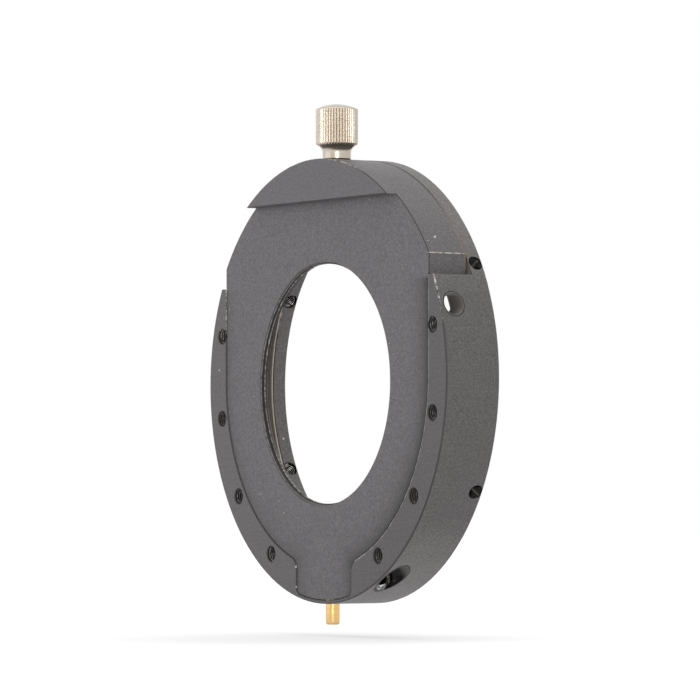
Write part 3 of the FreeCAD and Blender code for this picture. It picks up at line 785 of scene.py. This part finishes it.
def turned_mesh(name, rings, steps, origin, axis):
    """A closed surface from (place along the axis, radius or function of the angle), in mm."""
    axis = Vector(axis).normalized()
    across = axis.orthogonal().normalized()
    up = axis.cross(across)
    origin = Vector(origin)
    points = []
    for along, radius in rings:
        for step in range(steps):
            turn = 2 * math.pi * step / steps
            reach = radius(turn) if callable(radius) else radius
            out = across * math.cos(turn) + up * math.sin(turn)
            points.append((origin + axis * along + out * reach) * MM)
    faces = []
    for ring in range(len(rings) - 1):
        for step in range(steps):
            after = (step + 1) % steps
            low, high = ring * steps, (ring + 1) * steps
            faces.append((low + step, low + after, high + after, high + step))
    start, end = len(points), len(points) + 1
    points.append((origin + axis * rings[0][0]) * MM)
    points.append((origin + axis * rings[-1][0]) * MM)
    last = (len(rings) - 1) * steps
    for step in range(steps):
        after = (step + 1) % steps
        faces.append((start, after, step))
        faces.append((end, last + step, last + after))
    mesh = bpy.data.meshes.new(name)
    mesh.from_pydata(points, [], faces)
    mesh.validate()
    return mesh


def rounded(start, end, centre, count=6):
    """Rings of a quarter round between two (along, radius) points about a centre."""
    made = []
    for step in range(count + 1):
        turn = math.pi / 2 * step / count
        made.append(tuple(c + (s - c) * math.cos(turn) + (e - c) * math.sin(turn)
                          for s, e, c in zip(start, end, centre)))
    return made


def hexagon(flats):
    """The radius of a six-sided hole at an angle, for its width across flats."""
    def reach(turn):
        return flats / 2 / math.cos((turn + math.pi / 6) % (math.pi / 3) - math.pi / 6)
    return reach


print("a key 2.5 mm across its flats is", round(2 * hexagon(2.5)(math.pi / 6), 2), "mm across its corners")

# %% [markdown]
# Each pattern is a tree of geometry nodes with its sizes as named inputs. Every tree ends in
# the same way: its copies become real geometry, and the material that its input names is put
# on all of it. Knurl and sleeve thread are both pressed into a turned body, so they share the
# step that pulls its points towards the axis.

# %% Parts that the geometry trees share


def new_tree(name, sizes):
    """A geometry tree that takes a mesh and the named sizes, given as label to (kind, value)."""
    tree = bpy.data.node_groups.new(name, "GeometryNodeTree")
    tree.interface.new_socket("Geometry", in_out="INPUT", socket_type="NodeSocketGeometry")
    tree.interface.new_socket("Geometry", in_out="OUTPUT", socket_type="NodeSocketGeometry")
    for label, (kind, value) in sizes.items():
        socket = tree.interface.new_socket(label, in_out="INPUT", socket_type="NodeSocket" + kind)
        socket.default_value = value
    return tree, tree.nodes.new("NodeGroupInput").outputs


def pull_in(tree, geometry, from_axis, depth):
    """Moves the points of a turned surface towards its axis by a depth."""
    outward = node(tree, "ShaderNodeVectorMath", {0: from_axis}, operation="NORMALIZE")
    inward = node(tree, "ShaderNodeMath", {0: depth, 1: -1.0}, operation="MULTIPLY")
    push = node(tree, "ShaderNodeVectorMath", {0: outward, "Scale": inward}, operation="SCALE")
    return node(tree, "GeometryNodeSetPosition", {"Geometry": geometry, "Offset": push})


def close_tree(tree, geometry):
    """Ends a tree: real geometry, with the material that its input names."""
    real = node(tree, "GeometryNodeRealizeInstances", {0: geometry})
    coated = node(tree, "GeometryNodeSetMaterial", {
        "Geometry": real, "Material": tree.nodes["Group Input"].outputs["Finish"]})
    node(tree, "NodeGroupOutput", {0: coated})


# %% [markdown]
# When a tree has run, its result is taken as a plain mesh, so that nothing is left for Blender
# to work out later. An input is addressed by its socket's identifier, because its name is only
# a label. The finished piece then learns which body of the part it rides on.

# %% From a tree to a finished piece


def finish_piece(name, mesh, body, sharp_degrees):
    """Makes a mesh a finished piece that rides on a body."""
    piece = bpy.data.objects.new(name, mesh)
    bpy.context.scene.collection.objects.link(piece)
    mesh.shade_smooth()
    mesh.set_sharp_from_angle(angle=math.radians(sharp_degrees))
    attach(piece, body)
    print(name, "has", len(mesh.polygons), "faces")
    return piece


def grow(name, mesh, tree, sizes, body, sharp_degrees):
    """Runs a tree on a mesh and keeps the result as a finished piece."""
    blank = bpy.data.objects.new(name + "_blank", mesh)
    bpy.context.scene.collection.objects.link(blank)
    modifier = blank.modifiers.new("pattern", "NODES")
    modifier.node_group = tree
    for item in tree.interface.items_tree:
        if item.in_out == "INPUT" and item.name in sizes:
            modifier[item.identifier] = sizes[item.name]
    scene_now = bpy.context.evaluated_depsgraph_get()
    result = bpy.data.meshes.new_from_object(blank.evaluated_get(scene_now))
    bpy.data.objects.remove(blank)
    result.name = name
    return finish_piece(name, result, body, sharp_degrees)


# %% [markdown]
# ## Thumb screw
#
# The screw was turned from one bar: a thin neck, a trumpet-shaped flare and a domed head. The
# head's straight knurl was rolled in afterwards. So the turned body comes first, with eight
# points to each tooth of the knurl and rows close enough for its ends. All heights are counted
# from the seat on the slider's cap.

# %% Thumb screw: turned body
THUMB_AXIS_Y = -9.05
THUMB_SEAT = 43.92
SHANK_LENGTH, SHANK_RADIUS = 6.0, 1.5
SHANK_TIP, SHANK_TIP_RADIUS = 0.35, 1.1
NECK_RADIUS, NECK_EDGE = 2.8, 0.1
FLARE_START, FLARE_END, FLARE_RADIUS, FLARE_CURVE, FLARE_STEPS = 0.95, 2.85, 3.92, 3.2, 10
HEAD_FOOT, HEAD_TOP, HEAD_RADIUS, HEAD_EDGE, HEAD_ROWS = 3.05, 10.1, 4.18, 0.08, 28
DOME_HEIGHT, DOME_STEPS, EDGE_ROUND = 0.85, 10, 0.33
TEETH, POINTS_TO_A_TOOTH = 44, 8

rings = [(-SHANK_LENGTH, SHANK_TIP_RADIUS), (SHANK_TIP - SHANK_LENGTH, SHANK_RADIUS), (0.0, SHANK_RADIUS),
         (0.0, NECK_RADIUS - NECK_EDGE), (NECK_EDGE, NECK_RADIUS), (NECK_EDGE + 0.06, NECK_RADIUS),
         (FLARE_START, NECK_RADIUS)]
for step in range(1, FLARE_STEPS + 1):
    share = step / FLARE_STEPS
    rings.append((FLARE_START + (FLARE_END - FLARE_START) * share,
                  NECK_RADIUS + (FLARE_RADIUS - NECK_RADIUS) * share ** FLARE_CURVE))
rings += [(HEAD_FOOT - 0.1, FLARE_RADIUS + 0.08), (HEAD_FOOT, HEAD_RADIUS - 0.06)]
low, high = HEAD_FOOT + HEAD_EDGE, HEAD_TOP - EDGE_ROUND
rings += [(low + (high - low) * row / HEAD_ROWS, HEAD_RADIUS) for row in range(HEAD_ROWS + 1)]
dome_foot = HEAD_RADIUS - EDGE_ROUND
rings += rounded((high, HEAD_RADIUS), (HEAD_TOP, dome_foot), (high, dome_foot))[1:]
dome_curve = (dome_foot ** 2 + DOME_HEIGHT ** 2) / (2 * DOME_HEIGHT)
for step in range(1, DOME_STEPS):
    radius = dome_foot * (1 - step / DOME_STEPS)
    rings.append((HEAD_TOP + DOME_HEIGHT - dome_curve + math.sqrt(dome_curve ** 2 - radius ** 2), radius))
rings = [(along + THUMB_SEAT, radius) for along, radius in rings]
thumb_body = turned_mesh("thumb_screw_turned", rings, TEETH * POINTS_TO_A_TOOTH, (0, THUMB_AXIS_Y, 0), (0, 0, 1))
print("thumb screw top at", round(rings[-1][0] + 0.02, 2), "mm")

# %% [markdown]
# The knurl was rolled in by a wheel with pointed teeth, 44 of them round the head, which leaves
# rounded ridges with sharp valleys that die out at both ends. The tree presses the valleys in:
# it works out how far round each point is, and pulls it towards the axis.

# %% Thumb screw: knurl
tree, sizes = new_tree("straight_knurl", {
    "Finish": ("Material", nickel),
    "Teeth": ("Float", float(TEETH)),
    "Depth": ("Float", 0.25 * MM),
    "Axis Y": ("Float", 0.0),
    "Low End": ("Float", 0.0),
    "High End": ("Float", 0.01),
    "Run Out": ("Float", 0.3 * MM),
})
place = node(tree, "ShaderNodeSeparateXYZ", {0: node(tree, "GeometryNodeInputPosition")})
from_axis = node(tree, "ShaderNodeMath", {0: place.outputs["Y"], 1: sizes["Axis Y"]}, operation="SUBTRACT")
turns = turns_round(tree, from_axis, place.outputs["X"])
tooth = node(tree, "ShaderNodeMath", {0: turns, 1: sizes["Teeth"]}, operation="MULTIPLY")
# A power above 1 leaves the ridges round and the valleys sharp
valley = node(tree, "ShaderNodeMath", {0: wave(tree, tooth), 1: 1.8}, operation="POWER")
low_done = node(tree, "ShaderNodeMath", {0: sizes["Low End"], 1: sizes["Run Out"]}, operation="ADD")
above = node(tree, "ShaderNodeMapRange", {"Value": place.outputs["Z"], "From Min": sizes["Low End"],
                                          "From Max": low_done}, interpolation_type="SMOOTHSTEP")
high_start = node(tree, "ShaderNodeMath", {0: sizes["High End"], 1: sizes["Run Out"]}, operation="SUBTRACT")
below = node(tree, "ShaderNodeMapRange", {"Value": place.outputs["Z"], "From Min": high_start,
                                          "From Max": sizes["High End"], "To Min": 1.0, "To Max": 0.0},
             interpolation_type="SMOOTHSTEP")
press = node(tree, "ShaderNodeMath", {0: above, 1: below}, operation="MULTIPLY")
press = node(tree, "ShaderNodeMath", {0: press, 1: valley}, operation="MULTIPLY")
press = node(tree, "ShaderNodeMath", {0: press, 1: sizes["Depth"]}, operation="MULTIPLY")
outward = node(tree, "ShaderNodeCombineXYZ", {0: place.outputs["X"], 1: from_axis})
close_tree(tree, pull_in(tree, sizes["Geometry"], outward, press))

thumb_screw = grow("thumb_screw_knurled", thumb_body, tree, {
    "Finish": nickel,
    "Teeth": float(TEETH),
    "Depth": 0.26 * MM,
    "Axis Y": THUMB_AXIS_Y * MM,
    "Low End": (THUMB_SEAT + HEAD_FOOT - 0.3) * MM,
    "High End": (THUMB_SEAT + HEAD_TOP + 0.05) * MM,
    "Run Out": 0.45 * MM,
}, "thumb_screw", 60)
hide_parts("thumb_screw")

# %% [markdown]
# ## Push-out pin
#
# The pin is plain brass rod with a rounded end, so it is turned in the same way, with no
# pattern on it. Its upper part sits in the tongue's hole, where nobody sees it.

# %% Push-out pin
PIN_Y, PIN_TOP, PIN_END, PIN_RADIUS, PIN_ROUND = -10.0, -35.6, -48.0, 1.4, 0.5

rings = [(PIN_END, PIN_RADIUS - PIN_ROUND)]
rings += rounded((PIN_END, PIN_RADIUS - PIN_ROUND), (PIN_END + PIN_ROUND, PIN_RADIUS),
                 (PIN_END + PIN_ROUND, PIN_RADIUS - PIN_ROUND), 8)[1:]
rings += [(PIN_END + 3.0, PIN_RADIUS), (PIN_END + 6.0, PIN_RADIUS), (PIN_TOP, PIN_RADIUS)]
pin_mesh = turned_mesh("push_pin_turned", rings, 96, (0, PIN_Y, 0), (0, 0, 1))
pin_mesh.materials.append(brass)
push_pin = finish_piece("push_pin_turned", pin_mesh, "slider", 50)
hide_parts("push_pin")

# %% [markdown]
# ## Threads in the tapped holes
#
# Eight M3 holes in the front face and six radial ones in the rear ring are tapped. Inside each
# hole a thread is one long ridge that winds down the wall, 0.5 mm per turn. The tree draws a
# spiral, gives it a diamond-shaped section whose outer half is buried in the metal, and puts a
# copy at every point of a small mesh. Each point carries the direction that its hole runs in,
# so the same tree serves the front holes, the radial holes and the big filter thread. It also
# stores how near each point is to the ridge's crest, for the material.

# %% Thread tree
thread_tree, sizes = new_tree("inner_thread", {
    "Finish": ("Material", filter_thread_skin),
    "Radius": ("Float", 1.5 * MM),
    "Pitch": ("Float", 0.5 * MM),
    "Length": ("Float", 5.0 * MM),
    "Ridge": ("Float", 0.2 * MM),
    "Points A Turn": ("Int", 24),
})
turns = node(thread_tree, "ShaderNodeMath", {0: sizes["Length"], 1: sizes["Pitch"]}, operation="DIVIDE")
spiral = node(thread_tree, "GeometryNodeCurveSpiral", {
    "Resolution": sizes["Points A Turn"], "Rotations": turns,
    "Start Radius": sizes["Radius"], "End Radius": sizes["Radius"], "Height": sizes["Length"]})
steady = node(thread_tree, "GeometryNodeSetCurveNormal", {"Curve": spiral}, mode="Z_UP")
diamond = node(thread_tree, "GeometryNodeCurvePrimitiveCircle", {"Resolution": 4, "Radius": sizes["Ridge"]})
ridge = node(thread_tree, "GeometryNodeCurveToMesh", {"Curve": steady, "Profile Curve": diamond, "Fill Caps": True})
at = node(thread_tree, "ShaderNodeSeparateXYZ", {0: node(thread_tree, "GeometryNodeInputPosition")})
from_axis = node(thread_tree, "ShaderNodeCombineXYZ", {0: at.outputs["X"], 1: at.outputs["Y"]})
from_axis = node(thread_tree, "ShaderNodeVectorMath", {0: from_axis}, operation="LENGTH").outputs["Value"]
height = node(thread_tree, "ShaderNodeMath", {0: sizes["Radius"], 1: from_axis}, operation="SUBTRACT")
height = node(thread_tree, "ShaderNodeMath", {0: height, 1: sizes["Ridge"]}, operation="DIVIDE", use_clamp=True)
ridge = node(thread_tree, "GeometryNodeStoreNamedAttribute", {"Geometry": ridge, "Name": "crest", "Value": height},
             data_type="FLOAT", domain="POINT")
direction = node(thread_tree, "GeometryNodeInputNamedAttribute", {"Name": "hole_direction"}, data_type="FLOAT_VECTOR")
turned_to = node(thread_tree, "FunctionNodeAlignRotationToVector", {"Vector": direction}, axis="Z")
placed = node(thread_tree, "GeometryNodeInstanceOnPoints", {
    "Points": sizes["Geometry"], "Instance": ridge, "Rotation": turned_to})
close_tree(thread_tree, placed)


def hole_points(name, holes):
    """A mesh of bare points in mm, each with the direction in which its thread runs."""
    mesh = bpy.data.meshes.new(name)
    mesh.from_pydata([tuple(Vector(start) * MM) for start, direction in holes], [], [])
    mesh.attributes.new("hole_direction", "FLOAT_VECTOR", "POINT")
    for point, (start, direction) in enumerate(holes):
        mesh.attributes["hole_direction"].data[point].vector = direction
    return mesh


# %% [markdown]
# The eight front holes take the screws of a plate in front. A tap enters through a small
# countersink, so their threads begin a third of a millimetre below the face.

# %% Threads in the front holes
front_holes = [((side * x, FRONT_Y + 0.32, z), (0, 1, 0)) for x, z in RIGHT_HOLES for side in (1, -1)]
grow("front_hole_threads", hole_points("front_holes", front_holes), thread_tree,
     {"Finish": front_thread_skin, "Radius": 1.52 * MM, "Pitch": 0.5 * MM, "Length": 5.3 * MM, "Ridge": 0.22 * MM,
      "Points A Turn": 24}, "chamber", 30)

# %% [markdown]
# The six radial holes go through the thin rear ring, from its bore outward, and hold the clamp
# screws. The ring leaves only an eighth of a millimetre of metal beside them, so these ridges
# are drawn a little smaller, and stay inside the metal.

# %% Threads in the radial holes
CLAMP_MIDDLE_Y = -1.625
radial_holes = []
for number in range(6):
    turn = math.radians(30 + 60 * number)
    out = Vector((math.cos(turn), 0, math.sin(turn)))
    radial_holes.append((out * (BORE_RADIUS + 0.4) + Vector((0, CLAMP_MIDDLE_Y, 0)), out))
grow("radial_hole_threads", hole_points("radial_holes", radial_holes), thread_tree,
     {"Finish": radial_thread_skin, "Radius": 1.44 * MM, "Pitch": 0.5 * MM, "Length": 9.1 * MM, "Ridge": 0.17 * MM,
      "Points A Turn": 20}, "chamber", 30)

# %% [markdown]
# The filter's thread has 0.75 mm to a turn. Most of it is painted on the wall of the opening,
# and only its first turn is a real ridge, which stands out where the thread begins and gives
# the opening the broken edge that a thread has there.

# %% Filter thread in the slider
grow("filter_thread", hole_points("filter_opening", [((0, THREAD_START, OPENING_Z), (0, 1, 0))]), thread_tree,
     {"Finish": filter_thread_skin, "Radius": (OPENING_RADIUS + 0.02) * MM, "Pitch": THREAD_PITCH * MM,
      "Length": 0.7 * MM, "Ridge": 0.36 * MM, "Points A Turn": 160}, "slider", 30)

# %% [markdown]
# ## Plunger sleeve
#
# The spring plunger in the lower side hole is a short threaded steel sleeve with a key socket.
# The rim is so steep there that the sleeve's end is bare on the lower side of the hole, and its
# chamfered end catches the light. The sleeve is turned first, with rings close together, which
# leaves points enough for the groove of its thread.

# %% Plunger sleeve: turned body
SLEEVE_START, SLEEVE_END = 10.85, 16.45
SLEEVE_RADIUS, SLEEVE_CHAMFER, SLEEVE_FOOT, SLEEVE_ROWS = 2.33, 0.35, 0.25, 72
SLEEVE_BORE, SLEEVE_BORE_END, BORE_BOTTOM_RING = 1.32, 14.85, 0.3
KEY_FLATS, KEY_DEPTH, KEY_LIP, KEY_BOTTOM_RING = 2.5, 1.0, 0.25, 0.4
PLUNGER_Y, PLUNGER_Z = PLUNGER_HOLE[1:]

rings = [(SLEEVE_BORE_END, BORE_BOTTOM_RING), (SLEEVE_BORE_END, SLEEVE_BORE), (SLEEVE_START, SLEEVE_BORE),
         (SLEEVE_START, SLEEVE_RADIUS - SLEEVE_FOOT)]
length = SLEEVE_END - SLEEVE_CHAMFER - SLEEVE_START
rings += [(SLEEVE_START + length * row / SLEEVE_ROWS, SLEEVE_RADIUS) for row in range(SLEEVE_ROWS + 1)]
rings += [(SLEEVE_END, SLEEVE_RADIUS - SLEEVE_CHAMFER), (SLEEVE_END, KEY_FLATS / 2 + KEY_LIP),
          (SLEEVE_END, hexagon(KEY_FLATS)), (SLEEVE_END - KEY_DEPTH, hexagon(KEY_FLATS)),
          (SLEEVE_END - KEY_DEPTH, KEY_BOTTOM_RING)]
sleeve_body = turned_mesh("plunger_sleeve_turned", rings, 48, (0, PLUNGER_Y, PLUNGER_Z), (1, 0, 0))
print("plunger sleeve, mm:", round(SLEEVE_END - SLEEVE_START, 2), "long and", 2 * SLEEVE_RADIUS, "across")

# %% [markdown]
# The sleeve's thread has 0.8 mm to a turn. The tree winds a groove into the turned body: how
# far round a point is and how far along, both counted in turns, say how deep it lies. Crests
# and the chamfered end are marked for the material, which paints a highlight on them.

# %% Plunger sleeve: thread
tree, sizes = new_tree("outer_thread", {
    "Finish": ("Material", black_oxide),
    "Pitch": ("Float", 0.8 * MM),
    "Depth": ("Float", 0.3 * MM),
    "Crest Radius": ("Float", 2.1 * MM),
    "Axis Y": ("Float", 0.0),
    "Axis Z": ("Float", 0.0),
    "Start": ("Float", 0.0),
    "End": ("Float", 0.0),
})
place = node(tree, "ShaderNodeSeparateXYZ", {0: node(tree, "GeometryNodeInputPosition")})
off_y = node(tree, "ShaderNodeMath", {0: place.outputs["Y"], 1: sizes["Axis Y"]}, operation="SUBTRACT")
off_z = node(tree, "ShaderNodeMath", {0: place.outputs["Z"], 1: sizes["Axis Z"]}, operation="SUBTRACT")
off_axis = node(tree, "ShaderNodeCombineXYZ", {1: off_y, 2: off_z})
wound = node(tree, "ShaderNodeMath", {0: place.outputs["X"], 1: sizes["Pitch"]}, operation="DIVIDE")
wound = node(tree, "ShaderNodeMath", {0: wound, 1: turns_round(tree, off_z, off_y)}, operation="ADD")
flank = wave(tree, wound)
distance = node(tree, "ShaderNodeVectorMath", {0: off_axis}, operation="LENGTH").outputs["Value"]
crest = node(tree, "ShaderNodeMath", {0: sizes["Crest Radius"], 1: 0.98}, operation="MULTIPLY")
on_crest = node(tree, "ShaderNodeMath", {0: distance, 1: crest}, operation="GREATER_THAN")
after_start = node(tree, "ShaderNodeMath", {0: place.outputs["X"], 1: sizes["Start"]}, operation="GREATER_THAN")
before_end = node(tree, "ShaderNodeMath", {0: place.outputs["X"], 1: sizes["End"]}, operation="LESS_THAN")
within = node(tree, "ShaderNodeMath", {0: after_start, 1: before_end}, operation="MULTIPLY")
within = node(tree, "ShaderNodeMath", {0: within, 1: on_crest}, operation="MULTIPLY")
cut = node(tree, "ShaderNodeMath", {0: flank, 1: within}, operation="MULTIPLY")
cut = node(tree, "ShaderNodeMath", {0: cut, 1: sizes["Depth"]}, operation="MULTIPLY")
# Painted highlight: the crests and the chamfered end are marked with 1 for the material
past_end = node(tree, "ShaderNodeMath", {0: place.outputs["X"], 1: sizes["End"]}, operation="GREATER_THAN")
top = node(tree, "ShaderNodeMath", {0: 1.0, 1: flank}, operation="SUBTRACT")
top = node(tree, "ShaderNodeMath", {0: top, 1: within}, operation="MULTIPLY")
top = node(tree, "ShaderNodeMath", {0: top, 1: past_end}, operation="ADD")
marked = node(tree, "GeometryNodeStoreNamedAttribute", {
    "Geometry": sizes["Geometry"], "Name": "crest", "Value": top}, data_type="FLOAT", domain="POINT")
close_tree(tree, pull_in(tree, marked, off_axis, cut))

plunger_sleeve = grow("plunger_sleeve_threaded", sleeve_body, tree, {
    "Finish": glinting_oxide,
    "Pitch": 0.8 * MM,
    "Depth": 0.3 * MM,
    "Crest Radius": SLEEVE_RADIUS * MM,
    "Axis Y": PLUNGER_Y * MM,
    "Axis Z": PLUNGER_Z * MM,
    "Start": (SLEEVE_START + 0.05) * MM,
    "End": (SLEEVE_END - SLEEVE_CHAMFER - 0.05) * MM,
}, "chamber", 30)
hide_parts("plunger_sleeve")

# %% [markdown]
# The coil spring behind the ball is as the construction model has it. It rests on the bottom of
# the sleeve's bore, and it gets shorter as the ball is pressed in, so a copy of it with a mesh
# of its own takes the solid's place.

# %% Plunger spring
solid_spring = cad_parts["plunger_spring"]
spring_mesh = solid_spring.data.copy()
spring_mesh.transform(solid_spring.matrix_world)
along = [corner.co.x for corner in spring_mesh.vertices]
plunger_spring = finish_piece("plunger_spring_coil", spring_mesh, "chamber", 40)
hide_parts("plunger_spring")
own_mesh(plunger_spring)
print("spring length at rest, mm:", round((max(along) - min(along)) / MM, 2))

# %% [markdown]
# ## Finish
#
# The colours are to look as their hex codes say, so the view is the standard one. The sizes of
# the construction model and of everything visible are gathered side by side.

# %% Finish
bpy.context.scene.view_settings.view_transform = "Standard"
sizes = {"cad": [list(corner) for corner in cad_box], "visual": [list(corner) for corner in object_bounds()]}
